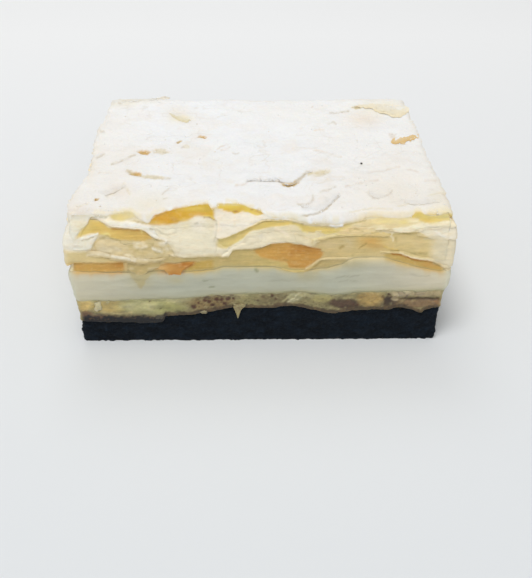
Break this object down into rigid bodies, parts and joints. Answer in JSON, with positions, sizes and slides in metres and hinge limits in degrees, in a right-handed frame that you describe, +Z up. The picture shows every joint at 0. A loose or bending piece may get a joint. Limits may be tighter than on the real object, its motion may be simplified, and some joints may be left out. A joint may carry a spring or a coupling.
{
  "type": "mille feuille slice",
  "caption": "Rectangular cut slice: dark cocoa base, custard with fruit pieces, white cream and a lid of flaky puff pastry dusted with sugar.",
  "frame": {"origin": "middle of the footprint, on the plane the slice stands on", "axes": "+Z up through the layers, +X along the long side, -Y towards the long cut face that shows best"},
  "size_m": [0.1226, 0.1004, 0.0488],
  "materials": {
    "cocoa_base": "dark crumbly cocoa base, dull",
    "custard": "moist yellow custard with pale fruit pieces and brown specks, soft gloss",
    "cream": "smooth white cream, cut with a knife, soft gloss",
    "pastry": "flaky puff pastry, pale gold leaves, top dusted white with icing sugar"
  },
  "bodies": {
    "root": {"cocoa_base": "cocoa_base", "custard_layer": "custard", "cream_layer": "cream", "pastry_lid": "pastry"}
  },
  "joints": []
}
